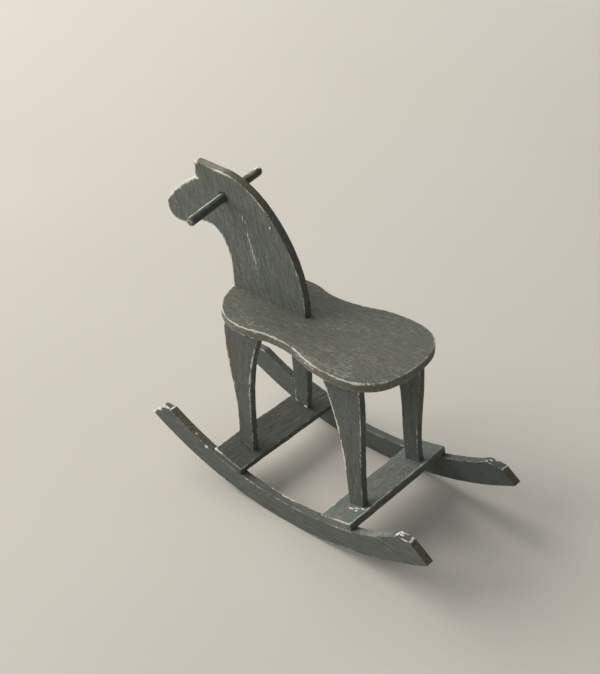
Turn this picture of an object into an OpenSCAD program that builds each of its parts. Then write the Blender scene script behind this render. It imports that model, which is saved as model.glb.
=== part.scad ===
// A small rocking horse cut from thin painted wood sheet and glued together.
// The head looks along +X, +Y is the horse's left, +Z is up and the rockers stand on z = 0.
// Outlines are drawn in side view (x, z) with x = 0 at the middle of the rockers' arc, and
// in_frame() then moves every piece so that x = 0 is the middle of the whole horse's length.

/* [Rockers] */
// Thickness of a rocker
rocker_t = 1.8; // [1.2:0.1:3]
// Overall width over both rockers
track = 30; // [26:0.5:40]
// Radius of the sole that rolls on the floor
sole_r = 74; // [66:1:90]
// Radius of the hollow top edge
hollow_r = 64; // [58:1:76]
// Depth of a rocker at its middle
rocker_depth = 4.6; // [3.5:0.1:6]
// Reach of the front tips ahead of the rockers' middle
front_reach = 36.2; // [32:0.2:40]
// Reach of the rear tips behind the rockers' middle
rear_reach = 35.4; // [32:0.2:40]
// Height of the flat on top of the front tips
front_flat_z = 12.3; // [11.5:0.1:13.5]
// Height of the flat on top of the left rocker's rear tip
left_flat_z = 12.15; // [11.5:0.05:13.5]
// Height of the flat on top of the right rocker's rear tip
right_flat_z = 11.5; // [11:0.05:13.5]
// Place of the rear tips' flat behind the rockers' middle
rear_flat_x = 28.4; // [27:0.1:30]
// Slope of the straight run up to the rear tips' flat, in degrees
rear_rise = 31; // [25:1:40]
// Slope of the sawn front ends below their flat, in degrees
front_slope = 43; // [30:1:60]
// Slope of the sawn rear ends below their flat, in degrees
rear_slope = 36.5; // [30:0.5:60]

/* [Cross boards] */
// Thickness of a cross board
board_t = 1.7; // [1.2:0.1:3]
// Width of the front cross board, along the horse
front_board_w = 7.5; // [5:0.1:9]
// Width of the rear cross board, along the horse
rear_board_w = 7.4; // [5:0.1:9]
// Distance of the front board's middle ahead of the rockers' middle
front_board_x = 14.8; // [12:0.1:17]
// Distance of the rear board's middle behind the rockers' middle
rear_board_x = 14.2; // [12:0.1:17]
// Depth of the flat sawn in the hollow for each board, at its middle
flat_depth = 0.1; // [0.05:0.05:0.5]

/* [Legs] */
// Thickness of a leg
leg_t = 1.6; // [1.2:0.1:3]
// Distance over the outer faces of a pair of legs
leg_span = 19; // [16:0.2:20]
// Front left leg's front edge at foot, shin, thigh and top, ahead of the board's middle
front_left_outer = [1.9, -0.3, 4.5, 3.4]; // [-9:0.1:9]
// Front left leg's rear edge at foot, shin, thigh and top, ahead of the board's middle
front_left_inner = [-2.2, -2.4, -1.4, -5.7]; // [-9:0.1:9]
// Front right leg's front edge at foot, shin, thigh and top, ahead of the board's middle
front_right_outer = [1.7, 1.7, 3.5, 3.4]; // [-9:0.1:9]
// Front right leg's rear edge at foot, shin, thigh and top, ahead of the board's middle
front_right_inner = [-1.6, -2.2, -1.6, -5.6]; // [-9:0.1:9]
// Rear left leg's rear edge at foot, shin, thigh and top, behind the board's middle
rear_left_outer = [2.1, 0.9, 2.0, 0.9]; // [-9:0.1:9]
// Rear left leg's front edge at foot, shin, thigh and top, behind the board's middle
rear_left_inner = [-1.3, -2.4, -3.8, -8.6]; // [-9:0.1:9]
// Rear right leg's rear edge at foot, shin, thigh and top, behind the board's middle
rear_right_outer = [2.2, 0.2, 3.1, 0.8]; // [-9:0.1:9]
// Rear right leg's front edge at foot, shin, thigh and top, behind the board's middle
rear_right_inner = [-1.3, -3.2, -0.8, -8.0]; // [-9:0.1:9]

/* [Seat] */
// Height of the seat's top above the floor
seat_z = 37.9; // [32:0.1:44]
// Thickness of the seat
seat_t = 1.8; // [1.2:0.1:3]
// Reach of the seat's front end ahead of the rockers' middle
seat_front = 24.2; // [22:0.1:27]
// Reach of the seat's rear end behind the rockers' middle
seat_rear = 20.9; // [19:0.1:24]
// Half width of the seat at its shoulders, under the neck
shoulder_half = 10.4; // [9.6:0.1:12]
// Place of the shoulders ahead of the rockers' middle
shoulder_x = 13.4; // [11:0.1:15]
// Half width of the seat at its waist
waist_half = 9.15; // [8:0.05:10]
// Place of the waist ahead of the rockers' middle
waist_x = 5.4; // [3:0.1:7]
// Half width of the seat at its hips
hip_half = 11.8; // [10:0.1:13]
// Place of the hips behind the rockers' middle
hip_x = 10.4; // [8:0.1:13]

/* [Head and neck] */
// Thickness of the head board
head_t = 1.8; // [1.2:0.1:3]
// Distance of the head board's middle from the seat's centre line, to the horse's right
head_off = 0.3; // [0:0.1:1]
// Distance of the neck's front corner behind the seat's front end
neck_inset = 0; // [0:0.1:1]
// Length of the neck's foot on the seat
neck_foot = 19.1; // [16:0.1:21]
// Height of the crest above the seat
crest_h = 24.8; // [24:0.1:28]
// Place of the crest ahead of the neck's front corner
crest_ahead = 1.6; // [0:0.1:4]
// Place of the notch under the ear ahead of the neck's front corner
ear_ahead = 8.2; // [7:0.1:9]
// Reach of the ear's tip ahead of its notch
ear_lean = 0.6; // [0:0.1:1.5]
// Height of the ear's tip above the seat
ear_h = 25; // [24:0.1:27]
// Rounding of the ear's tip
ear_round = 0.6; // [0.2:0.1:1.2]
// Height of the notch under the ear above the seat
notch_h = 21.6; // [20.5:0.1:23]
// Place of the nose's tip ahead of the neck's front corner
nose_ahead = 17.2; // [15:0.1:19]
// Height of the nose's tip above the seat
nose_h = 13.6; // [12.5:0.1:15]
// Place of the chin ahead of the neck's front corner
chin_ahead = 12.5; // [11:0.1:13.5]
// Height of the chin above the seat
chin_h = 10.2; // [9:0.1:11.5]
// Place of the throat's top ahead of the neck's front corner
throat_ahead = 5.9; // [4:0.1:7]
// Height of the throat's top above the seat
throat_h = 12.4; // [11.8:0.1:14]

/* [Handle] */
// Diameter of the handle rod
handle_d = 1.8; // [1:0.1:2]
// Length of the handle rod
handle_len = 21.5; // [16:0.1:26]
// Place of the handle ahead of the neck's front corner
handle_ahead = 1; // [0:0.1:3]
// Height of the handle above the seat
handle_h = 19.6; // [17:0.1:21]
// Angle by which the rod's left end drops below level, in degrees
handle_drop = 5.5; // [0:0.5:8]
// Angle by which the rod's left end is turned back towards the tail, in degrees
handle_turn = 5; // [0:0.5:8]
// Radius of the rounding on the rod's ends
handle_round = 0.4; // [0.1:0.05:0.45]
// Glue gap round the rod in the head's bore
glue_gap = 0.03; // [0.01:0.01:0.08]

/* [Hidden] */

PAINT = [0.38, 0.41, 0.39];
DARK_PAINT = [0.30, 0.32, 0.30];
ARC_FN = 360;
ROD_FN = 48;
// Straight steps in one freeform curve, and in one rounded rod end
CURVE_STEPS = 16;
ROUND_STEPS = 5;
// Reach of cutting shapes past the wood
PAST = 4;
// Fullness of a curve that follows a quarter of an ellipse
ELLIPSE = 0.5523;
// Fullness of the flatter mane and of the squarer corners: throat, chin and the seat's rear end
MANE_FULL = 0.5;
THROAT_FULL = 0.7;
CHIN_FULL = 0.73;
REAR_FULL = 0.7;
// Handles of the forehead's curve, as shares of its run and rise from nose to notch
BROW_START = [0, 0.26];
BROW_END = [0.79, 0.95];

hollow_z = rocker_depth + hollow_r;
board_r = hollow_r + flat_depth;
leg_top_z = seat_z - seat_t;
neck_x = seat_front - neck_inset;
nose_x = neck_x + nose_ahead;
handle_x = neck_x + handle_ahead;
handle_z = seat_z + handle_h;
length_mid = (max(nose_x, front_reach) - rear_reach) / 2;

// ---- curves ----

// A cubic through a and d that heads for b and comes in from c
function cubic_at(a, b, c, d, t) =
    a * pow(1 - t, 3) + 3 * b * t * pow(1 - t, 2) + 3 * c * t * t * (1 - t) + d * pow(t, 3);

function cubic(a, b, c, d) = [for (i = [0:CURVE_STEPS]) cubic_at(a, b, c, d, i / CURVE_STEPS)];

// A corner from a to b that leaves a straight up or down and reaches b level
function corner_up(a, b, full) =
    cubic(a, [a.x, a.y + full * (b.y - a.y)], [b.x + full * (a.x - b.x), b.y], b);

// A corner from a to b that leaves a level and reaches b straight up or down
function corner_level(a, b, full) =
    cubic(a, [a.x + full * (b.x - a.x), a.y], [b.x, b.y + full * (a.y - b.y)], b);

// An S-shaped curve from a to b, level at both ends
function ogee(a, b) = cubic(a, [(a.x + b.x) / 2, a.y], [(a.x + b.x) / 2, b.y], b);

function reversed(points) = [for (i = [len(points) - 1:-1:0]) points[i]];

// ---- placing ----

module in_frame() {
    translate([-length_mid, 0, 0]) children();
}

// Stands a side view (x, z) up as a board whose right face is at y
module upright(y, thick) {
    in_frame() translate([0, y + thick, 0]) rotate([90, 0, 0]) linear_extrude(thick) children();
}

// Slope of the flat sawn for a board at x
function board_tilt(x) = asin(x / board_r);

// Height of a board's top at its middle, for a board at x
function board_top_z(x) = hollow_z - (board_r - board_t) * cos(board_tilt(x));

// Side view turned so that its bottom edge lies on the flat sawn for a board at x
module on_flat(x) {
    translate([0, hollow_z]) rotate(board_tilt(x)) translate([0, -board_r]) children();
}

// ---- rockers and cross boards ----

module front_board_section() {
    on_flat(front_board_x) translate([-front_board_w / 2, 0]) square([front_board_w, board_t]);
}

module rear_board_section() {
    mirror([1, 0]) on_flat(rear_board_x) translate([-rear_board_w / 2, 0]) square([rear_board_w, board_t]);
}

function sole_at(x) = sole_r - sqrt(sole_r * sole_r - x * x);

// Outline that trims the rocker's ends: two sawn ends under one nearly level top line
function end_trim(rear_flat_z) =
    let (front_tip = sole_at(front_reach), rear_tip = sole_at(rear_reach))
    [[front_reach + PAST, -PAST],
     [front_reach + PAST, front_tip - PAST * tan(front_slope)],
     [front_reach - (front_flat_z - front_tip) / tan(front_slope), front_flat_z],
     [-rear_reach + (rear_flat_z - rear_tip) / tan(rear_slope), rear_flat_z],
     [-rear_reach - PAST, rear_tip - PAST * tan(rear_slope)],
     [-rear_reach - PAST, -PAST]];

// Wood that stays in the hollow's circle, behind the straight run up to the rear flat
function rear_run(rear_flat_z) =
    let (rise = PAST * tan(rear_rise))
    [[-rear_flat_x - PAST, rear_flat_z + rise],
     [-rear_flat_x + 2 * PAST, rear_flat_z - 2 * rise],
     [-rear_reach - PAST, rear_flat_z - 2 * rise],
     [-rear_reach - PAST, rear_flat_z + rise]];

module rocker_section(rear_flat_z) {
    difference() {
        intersection() {
            translate([0, sole_r]) circle(r = sole_r, $fn = ARC_FN);
            polygon(end_trim(rear_flat_z));
        }
        difference() {
            translate([0, hollow_z]) circle(r = hollow_r, $fn = ARC_FN);
            polygon(rear_run(rear_flat_z));
        }
        front_board_section();
        rear_board_section();
    }
}

module left_rocker() {
    color(PAINT) upright(track / 2 - rocker_t, rocker_t) rocker_section(left_flat_z);
}

module right_rocker() {
    color(PAINT) upright(-track / 2, rocker_t) rocker_section(right_flat_z);
}

module front_cross_board() {
    color(PAINT) upright(-track / 2, track) front_board_section();
}

module rear_cross_board() {
    color(PAINT) upright(-track / 2, track) rear_board_section();
}

// ---- legs ----

// One edge of a leg that stands on a board at x
function leg_edge(x, shape) =
    let (foot_z = board_top_z(x), third = (leg_top_z - foot_z) / 3)
    cubic([x + shape[0], foot_z], [x + shape[1], foot_z + third],
          [x + shape[2], leg_top_z - third], [x + shape[3], leg_top_z]);

// A leg's side view, its foot cut to the slope of the board at x that it stands on
module leg_section(x, outer, inner) {
    below_z = board_top_z(x) - PAST;
    difference() {
        polygon(concat([[x + outer[0], below_z]], leg_edge(x, outer),
                       reversed(leg_edge(x, inner)), [[x + inner[0], below_z]]));
        on_flat(x) translate([-x, board_t - 2 * PAST]) square([2 * x, 2 * PAST]);
    }
}

module left_leg_place() {
    upright(leg_span / 2 - leg_t, leg_t) children();
}

module right_leg_place() {
    upright(-leg_span / 2, leg_t) children();
}

module front_left_leg() {
    color(PAINT) left_leg_place() leg_section(front_board_x, front_left_outer, front_left_inner);
}

module front_right_leg() {
    color(PAINT) right_leg_place() leg_section(front_board_x, front_right_outer, front_right_inner);
}

module rear_left_leg() {
    color(PAINT) left_leg_place() mirror([1, 0])
        leg_section(rear_board_x, rear_left_outer, rear_left_inner);
}

module rear_right_leg() {
    color(PAINT) right_leg_place() mirror([1, 0])
        leg_section(rear_board_x, rear_right_outer, rear_right_inner);
}

// ---- seat ----

// Left half of the seat's outline, seen from above, from its front end to its rear end
function seat_half() =
    let (shoulder = [shoulder_x, shoulder_half],
         waist = [waist_x, waist_half],
         hip = [-hip_x, hip_half])
    concat(corner_up([seat_front, 0], shoulder, ELLIPSE), ogee(shoulder, waist),
           ogee(waist, hip), corner_level(hip, [-seat_rear, 0], REAR_FULL));

module seat() {
    color(PAINT) in_frame() translate([0, 0, leg_top_z]) linear_extrude(seat_t)
        polygon(concat(seat_half(), [for (p = reversed(seat_half())) [p.x, -p.y]]));
}

// ---- head and handle ----

function head_point(ahead, up) = [neck_x + ahead, seat_z + up];

function head_outline() =
    let (front = head_point(0, 0),
         throat = head_point(throat_ahead, throat_h),
         chin = head_point(chin_ahead, chin_h),
         nose = head_point(nose_ahead, nose_h),
         notch = head_point(ear_ahead, notch_h),
         brow = notch - nose,
         ear = head_point(ear_ahead + ear_lean, ear_h),
         crest = head_point(crest_ahead, crest_h),
         rear = head_point(-neck_foot, 0))
    concat(corner_up(front, throat, THROAT_FULL),
           ogee(throat, chin),
           corner_level(chin, nose, CHIN_FULL),
           cubic(nose, nose + [brow.x * BROW_START.x, brow.y * BROW_START.y],
                 nose + [brow.x * BROW_END.x, brow.y * BROW_END.y], notch),
           corner_up(ear - [0, ear_round], ear - [ear_round, 0], ELLIPSE),
           ogee(ear - [ear_round, 0], crest),
           corner_level(crest, rear, MANE_FULL));

// Turns +Z to run along the handle rod, towards the horse's left
module along_handle() {
    in_frame() translate([handle_x, 0, handle_z])
        rotate([-handle_drop, 0, handle_turn]) rotate([-90, 0, 0]) children();
}

module head_and_neck() {
    color(PAINT) difference() {
        upright(-head_off - head_t / 2, head_t) polygon(head_outline());
        along_handle() cylinder(d = handle_d + 2 * glue_gap, h = handle_len, center = true, $fn = ROD_FN);
    }
}

// Half of the rod's profile (radius, height), from the middle to the rounded end
function rod_half() =
    concat([for (i = [0:ROUND_STEPS]) let (a = 90 * i / ROUND_STEPS)
               [handle_d / 2 - handle_round * (1 - cos(a)),
                handle_len / 2 - handle_round * (1 - sin(a))]],
           [[0, handle_len / 2]]);

module handle() {
    color(DARK_PAINT) along_handle() rotate_extrude($fn = ROD_FN)
        polygon(concat([for (p = reversed(rod_half())) [p.x, -p.y]], rod_half()));
}

left_rocker();
right_rocker();
front_cross_board();
rear_cross_board();
front_left_leg();
front_right_leg();
rear_left_leg();
rear_right_leg();
seat();
head_and_neck();
handle();
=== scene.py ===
"""A small rocking horse of painted wood sheet: hand-cut boards, worn edges and brushed paint.

Outlines are worked in millimetres in side view, with x = 0 at the middle of the rockers' arc, as in the
CAD source. Placing turns them into the frame's metres.
"""

import math
from dataclasses import dataclass

import bpy
import numpy as np
from mathutils import Matrix, Vector, noise
from mathutils.geometry import delaunay_2d_cdt


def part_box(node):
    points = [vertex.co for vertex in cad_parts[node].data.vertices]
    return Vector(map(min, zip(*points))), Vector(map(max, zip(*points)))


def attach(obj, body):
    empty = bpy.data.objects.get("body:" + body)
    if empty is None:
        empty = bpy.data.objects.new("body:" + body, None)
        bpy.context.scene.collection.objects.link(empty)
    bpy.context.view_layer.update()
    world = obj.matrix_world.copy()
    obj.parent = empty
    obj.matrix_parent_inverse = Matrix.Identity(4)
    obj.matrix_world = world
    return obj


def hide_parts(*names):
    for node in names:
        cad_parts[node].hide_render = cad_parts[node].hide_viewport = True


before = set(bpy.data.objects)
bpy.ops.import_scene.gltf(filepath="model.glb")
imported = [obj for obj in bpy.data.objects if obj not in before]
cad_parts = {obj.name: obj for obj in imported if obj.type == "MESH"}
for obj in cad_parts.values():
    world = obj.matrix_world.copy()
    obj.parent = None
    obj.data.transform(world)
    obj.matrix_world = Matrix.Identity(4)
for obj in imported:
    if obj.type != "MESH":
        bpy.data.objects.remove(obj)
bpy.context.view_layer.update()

MM = 0.001

# ---- the shapes' named values, in mm ----

ROCKER_T = 1.8
TRACK = 30.0
SOLE_R = 74.0
HOLLOW_R = 64.0
ROCKER_DEPTH = 4.6
HOLLOW_Z = ROCKER_DEPTH + HOLLOW_R
FRONT_REACH = 36.2
REAR_REACH = 35.4
FRONT_FLAT_Z = 12.3
LEFT_FLAT_Z = 12.15
RIGHT_FLAT_Z = 11.5
REAR_FLAT_X = 28.4
REAR_RISE = 31.0
FRONT_SLOPE = 43.0
REAR_SLOPE = 36.5

BOARD_T = 1.7
FRONT_BOARD_W = 7.5
REAR_BOARD_W = 7.4
FRONT_BOARD_X = 14.8
REAR_BOARD_X = 14.2
FLAT_DEPTH = 0.1
BOARD_R = HOLLOW_R + FLAT_DEPTH

LEG_T = 1.6
LEG_SPAN = 19.0
SEAT_Z = 37.9
SEAT_T = 1.8
LEG_TOP_Z = SEAT_Z - SEAT_T
SEAT_FRONT = 24.2
SEAT_REAR = 20.9
SHOULDER = (13.4, 10.4)
WAIST = (5.4, 9.15)
HIP = (-10.4, 11.8)

HEAD_T = 1.8
HEAD_Y = -0.3
NECK_FOOT = 19.1
THROAT = (5.9, 12.4)
CHIN = (12.5, 10.2)
NOSE = (17.2, 13.6)
NOTCH = (8.2, 21.6)
EAR = (8.8, 25.0)
EAR_ROUND = 0.6
CREST = (1.6, 24.8)
# What the brow's curve is pulled towards, in shares of its run and rise
BROW_PULLS = ((0, 0.26), (0.79, 0.95))

HANDLE_D = 1.8
HANDLE_LEN = 21.5
HANDLE_AT = (1.0, 19.6)
HANDLE_DROP = 5.5
HANDLE_TURN = 5.0
BORE_GAP = 0.03

# Distance from the rockers' middle to the middle of the whole length
MID = SEAT_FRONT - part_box("seat")[1].x / MM


# ---- camera ----

CAMERA_AT = (-130.489, 145.909, 164.746)
CAMERA_AZIMUTH = 0.7455446
CAMERA_ELEVATION = 0.5874729
CAMERA_ROLL = -0.0380073
SENSOR = 36.0
LENS = 65.575
CLIP = (0.01, 20)


def link(thing):
    bpy.context.scene.collection.objects.link(thing)


def make_camera():
    """The camera at the photograph's viewing angle."""
    az, el, roll = CAMERA_AZIMUTH, CAMERA_ELEVATION, CAMERA_ROLL
    ahead = Vector((math.sin(az) * math.cos(el), -math.cos(az) * math.cos(el), -math.sin(el)))
    level = Vector((-math.cos(az), -math.sin(az), 0))
    upward = level.cross(ahead)
    right = math.cos(roll) * level + math.sin(roll) * upward
    up = -math.sin(roll) * level + math.cos(roll) * upward
    data = bpy.data.cameras.new("camera")
    data.sensor_width = SENSOR
    data.lens = LENS
    data.clip_start, data.clip_end = CLIP
    camera = bpy.data.objects.new("camera", data)
    axes = Matrix((right, up, -ahead)).transposed()
    camera.matrix_world = Matrix.Translation(Vector(CAMERA_AT) * MM) @ axes.to_4x4()
    link(camera)
    bpy.context.scene.camera = camera


# ---- curves ----

STEPS = 40
TINY = 1e-6
ELLIPSE = 0.5523
MANE_FULL = 0.5
THROAT_FULL = 0.7
CHIN_FULL = 0.73
REAR_FULL = 0.7


def cubic(a, b, c, d):
    """The curve from a to d that is pulled towards b and c."""
    t = np.linspace(0, 1, STEPS)[:, None]
    a, b, c, d = (np.array(p, float) for p in (a, b, c, d))
    return a * (1 - t) ** 3 + 3 * b * t * (1 - t) ** 2 + 3 * c * t * t * (1 - t) + d * t**3


def corner_up(a, b, full):
    """A corner that leaves a straight up or down and reaches b level."""
    return cubic(a, (a[0], a[1] + full * (b[1] - a[1])), (b[0] + full * (a[0] - b[0]), b[1]), b)


def corner_level(a, b, full):
    """A corner that leaves a level and reaches b straight up or down."""
    return cubic(a, (a[0] + full * (b[0] - a[0]), a[1]), (b[0], b[1] + full * (a[1] - b[1])), b)


def ogee(a, b):
    """An S-shaped curve, level at both ends."""
    middle = (a[0] + b[0]) / 2
    return cubic(a, (middle, a[1]), (middle, b[1]), b)


def arc(centre_z, radius, x0, x1):
    """The lower arc of a circle round (0, centre_z), from x0 to x1."""
    a = np.linspace(math.asin(x0 / radius), math.asin(x1 / radius), 3 * STEPS)
    return np.c_[radius * np.sin(a), centre_z - radius * np.cos(a)]


def joined(*runs):
    """One closed outline of several runs, with no point twice in a row."""
    points = np.vstack([np.atleast_2d(np.array(r, float)) for r in runs])
    gap = np.linalg.norm(points - np.roll(points, 1, 0), axis=1)
    return points[gap > TINY]


# ---- outlines ----

FOOT_CLEAR = 0.05


def sole_at(x):
    return SOLE_R - math.sqrt(SOLE_R**2 - x * x)


def board_tilt(x):
    return math.asin(x / BOARD_R)


def board_point(x, along, up):
    """A side-view point given along and up from the middle of the underside of the board at x."""
    tilt = board_tilt(x)
    u, v = along, up - BOARD_R
    return (u * math.cos(tilt) - v * math.sin(tilt), HOLLOW_Z + u * math.sin(tilt) + v * math.cos(tilt))


def flat_edges(x, width):
    """The step that the board at x is let into the hollow by."""
    half = width / 2
    rise = BOARD_R - math.sqrt(HOLLOW_R**2 - half * half)
    return [board_point(x, -half, rise), board_point(x, -half, 0),
            board_point(x, half, 0), board_point(x, half, rise)]


def hollow_x(z):
    return math.sqrt(HOLLOW_R**2 - (HOLLOW_Z - z) ** 2)


def rear_run(rear_flat_z):
    """The straight run up to the rear flat: its foot on the hollow's arc, and its top."""
    rise = math.radians(REAR_RISE)
    x, z = -REAR_FLAT_X, rear_flat_z - HOLLOW_Z
    down = x * math.cos(rise) - z * math.sin(rise)
    run = -down + math.sqrt(down**2 + HOLLOW_R**2 - x**2 - z**2)
    return (x + run * math.cos(rise), rear_flat_z - run * math.sin(rise)), (x, rear_flat_z)


def rocker_outline(rear_flat_z):
    front_top = FRONT_REACH - (FRONT_FLAT_Z - sole_at(FRONT_REACH)) / math.tan(math.radians(FRONT_SLOPE))
    rear_top = REAR_REACH - (rear_flat_z - sole_at(REAR_REACH)) / math.tan(math.radians(REAR_SLOPE))
    run_foot, run_top = rear_run(rear_flat_z)
    front_step = flat_edges(FRONT_BOARD_X, FRONT_BOARD_W)
    rear_step = [(-x, z) for x, z in reversed(flat_edges(REAR_BOARD_X, REAR_BOARD_W))]
    top = joined(
        [(-rear_top, rear_flat_z), run_top],
        arc(HOLLOW_Z, HOLLOW_R, run_foot[0], rear_step[0][0]),
        rear_step,
        arc(HOLLOW_Z, HOLLOW_R, rear_step[3][0], front_step[0][0]),
        front_step,
        arc(HOLLOW_Z, HOLLOW_R, front_step[3][0], hollow_x(FRONT_FLAT_Z)),
        [(front_top, FRONT_FLAT_Z)],
    )
    return joined(arc(SOLE_R, SOLE_R, -REAR_REACH, FRONT_REACH), top[::-1])


def leg_edge(x, shape):
    """One edge of a leg on the board at x. shape is how far ahead of x foot, shin, thigh and top lie."""
    foot_z = board_point(x, 0, BOARD_T)[1]
    third = (LEG_TOP_Z - foot_z) / 3
    return cubic((x + shape[0], foot_z), (x + shape[1], foot_z + third),
                 (x + shape[2], LEG_TOP_Z - third), (x + shape[3], LEG_TOP_Z))


def on_board(x, points):
    """Starts a leg's edge on the sloping top of the board at x."""
    line = board_point(x, 0, BOARD_T)
    slope = math.tan(board_tilt(x))
    foot = points[0]
    z = line[1] + (foot[0] - line[0]) * slope
    kept = points[points[:, 1] > z + FOOT_CLEAR]
    return np.vstack([[foot[0], z], kept])


def leg_outline(x, outer, inner, way):
    """A leg's side view. way is 1 for a front leg and -1 for a rear one."""
    front, back = on_board(x, leg_edge(x, outer)), on_board(x, leg_edge(x, inner))
    points = joined(front, back[::-1])
    return points if way > 0 else (points * (-1, 1))[::-1]


def seat_outline():
    front, rear = (SEAT_FRONT, 0), (-SEAT_REAR, 0)
    half = joined(corner_up(front, SHOULDER, ELLIPSE), ogee(SHOULDER, WAIST), ogee(WAIST, HIP),
                  corner_level(HIP, rear, REAR_FULL))
    return joined(half, (half * (1, -1))[::-1][1:-1])


def head_point(at):
    return (SEAT_FRONT + at[0], SEAT_Z + at[1])


def brow_curve():
    """The top of the muzzle, from the nose up to the notch."""
    nose, notch = np.array(head_point(NOSE)), np.array(head_point(NOTCH))
    return cubic(nose, *[nose + (notch - nose) * share for share in BROW_PULLS], notch)


def head_outline():
    front, rear = head_point((0, 0)), head_point((-NECK_FOOT, 0))
    throat, chin, nose = head_point(THROAT), head_point(CHIN), head_point(NOSE)
    ear, crest = head_point(EAR), head_point(CREST)
    ear_top = (ear[0] - EAR_ROUND, ear[1])
    return joined(corner_up(front, throat, THROAT_FULL), ogee(throat, chin),
                  corner_level(chin, nose, CHIN_FULL), brow_curve(),
                  corner_up((ear[0], ear[1] - EAR_ROUND), ear_top, ELLIPSE),
                  ogee(ear_top, crest), corner_level(crest, rear, MANE_FULL))


def rectangle(length, width):
    return np.array([(-1, -1), (1, -1), (1, 1), (-1, 1)]) * (length / 2, width / 2)


# ---- hand-cut boards ----

CORNER_SAND = 0.25
CORNER_STEPS = 5
SPACING = 0.28
SHARP = math.radians(28)
KEEP_OFF = 0.1
RIM = 0.09
RIM_ANGLES = np.radians([0, 30, 60, 90])
STRIP_ROWS = 6
RINGS = (0.22, 0.5, 0.9)
GRID = 0.5
GRID_ROW = 0.87
GRID_CLEAR = 0.4
RING_CLEAR = 0.93
BORE_CLEAR = 0.3
FAR_FROM_RIM = 3.0

# Sizes of the noise, in mm. Each use of it adds its own number to the board's seed.
LONG_WAVE = 4.0
SHORT_WAVE = 1.1
CHIP = 0.9
WEAR_PATCH = 5.0
STREAK_PATCH = 6.0


def cross2(a, b):
    return a[..., 0] * b[..., 1] - a[..., 1] * b[..., 0]


def steps_of(points):
    """The steps from each point of a closed outline to the next, and to it from the last."""
    ahead = np.roll(points, -1, 0) - points
    return ahead, np.roll(ahead, 1, 0)


def turn_angles(points):
    ahead, behind = steps_of(points)
    return np.arctan2(cross2(behind, ahead), (behind * ahead).sum(1))


def outward(points):
    """The outward direction at each point of an anticlockwise outline."""
    ahead, behind = (step / np.linalg.norm(step, axis=1)[:, None] for step in steps_of(points))
    n = np.c_[ahead[:, 1] + behind[:, 1], -ahead[:, 0] - behind[:, 0]]
    return n / np.linalg.norm(n, axis=1)[:, None]


def run_of(points):
    """How far along a closed outline each point lies, and at the end the whole length."""
    return np.r_[0, np.cumsum(np.linalg.norm(steps_of(points)[0], axis=1))]


def points_at(points, at, s):
    """The points at the distances s along the outline."""
    closed = np.vstack([points, points[:1]])
    return np.c_[np.interp(s, at, closed[:, 0]), np.interp(s, at, closed[:, 1])]


def softened(points, reach):
    """The outline with each sharp outward corner sanded round over reach mm on both sides."""
    at = run_of(points)
    total = at[-1]
    keep = np.ones(len(points), bool)
    extra = []
    for i in np.nonzero(turn_angles(points) > SHARP)[0]:
        gap = np.abs(at[:-1] - at[i])
        keep &= np.minimum(gap, total - gap) >= reach
        a, c = points_at(points, at, np.array([at[i] - reach, at[i] + reach]) % total)
        for t in np.linspace(0, 1, CORNER_STEPS):
            s = (at[i] - reach + 2 * reach * t) % total
            extra.append((s, *(a * (1 - t) ** 2 + 2 * points[i] * t * (1 - t) + c * t * t)))
    rows = [(at[i], *points[i]) for i in np.nonzero(keep)[0]] + extra
    return joined([r[1:] for r in sorted(rows)])


def resampled(points):
    """The outline at an even spacing, with its corners kept."""
    at = run_of(points)
    corners = at[:-1][np.abs(turn_angles(points)) > SHARP]
    even = np.linspace(0, at[-1], int(at[-1] / SPACING), endpoint=False)
    if len(corners):
        gap = np.abs(even[:, None] - corners[None])
        even = even[np.minimum(gap, at[-1] - gap).min(1) > KEEP_OFF]
    return points_at(points, at, np.sort(np.r_[even, corners]))


def waves(points, size, seed):
    """Smooth noise from -1 to 1 at each point, with waves of about size mm."""
    flat = np.full((len(points), 3), seed * 3.7)
    flat[:, : points.shape[1]] += points / size
    return np.array([noise.noise(Vector(p)) for p in flat])


def rim_distance(points, outline):
    """Each point's distance to the outline."""
    a, b = outline, np.roll(outline, -1, 0)
    d = b - a
    t = ((points[:, None] - a) * d).sum(2) / (d * d).sum(1)
    near = a + np.clip(t, 0, 1)[..., None] * d
    return np.linalg.norm(points[:, None] - near, axis=2).min(1)


def inside(points, outline):
    """True for each point inside the outline."""
    a, b = outline, np.roll(outline, -1, 0)
    x, y = points[:, 0][:, None], points[:, 1][:, None]
    spans = (a[:, 1] > y) != (b[:, 1] > y)
    rise = np.where(b[:, 1] == a[:, 1], TINY, b[:, 1] - a[:, 1])
    cross_x = a[:, 0] + (y - a[:, 1]) * (b[:, 0] - a[:, 0]) / rise
    return (spans & (x < cross_x)).sum(1) % 2 == 1


def inner_points(outline, normals, rim, bore):
    """Points inside a face: rings near its rim and a staggered grid in the middle."""
    low, high = outline.min(0), outline.max(0)
    rows = np.arange(low[1], high[1], GRID * GRID_ROW)
    grid = np.array([(x + (GRID / 2 if j % 2 else 0), z) for j, z in enumerate(rows)
                     for x in np.arange(low[0], high[0], GRID)])
    grid = grid[inside(grid, outline)]
    found = [grid[rim_distance(grid, outline) > RINGS[-1] + GRID_CLEAR * GRID]]
    for step, ring in enumerate(RINGS):
        depth = rim.max() + ring
        points = (outline - normals * depth)[:: step + 1]
        points = points[inside(points, outline)]
        found.append(points[rim_distance(points, outline) > RING_CLEAR * depth])
    points = np.vstack(found)
    if bore is not None:
        points = points[~inside(points, bore) & (rim_distance(points, bore) > BORE_CLEAR)]
    return points


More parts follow.
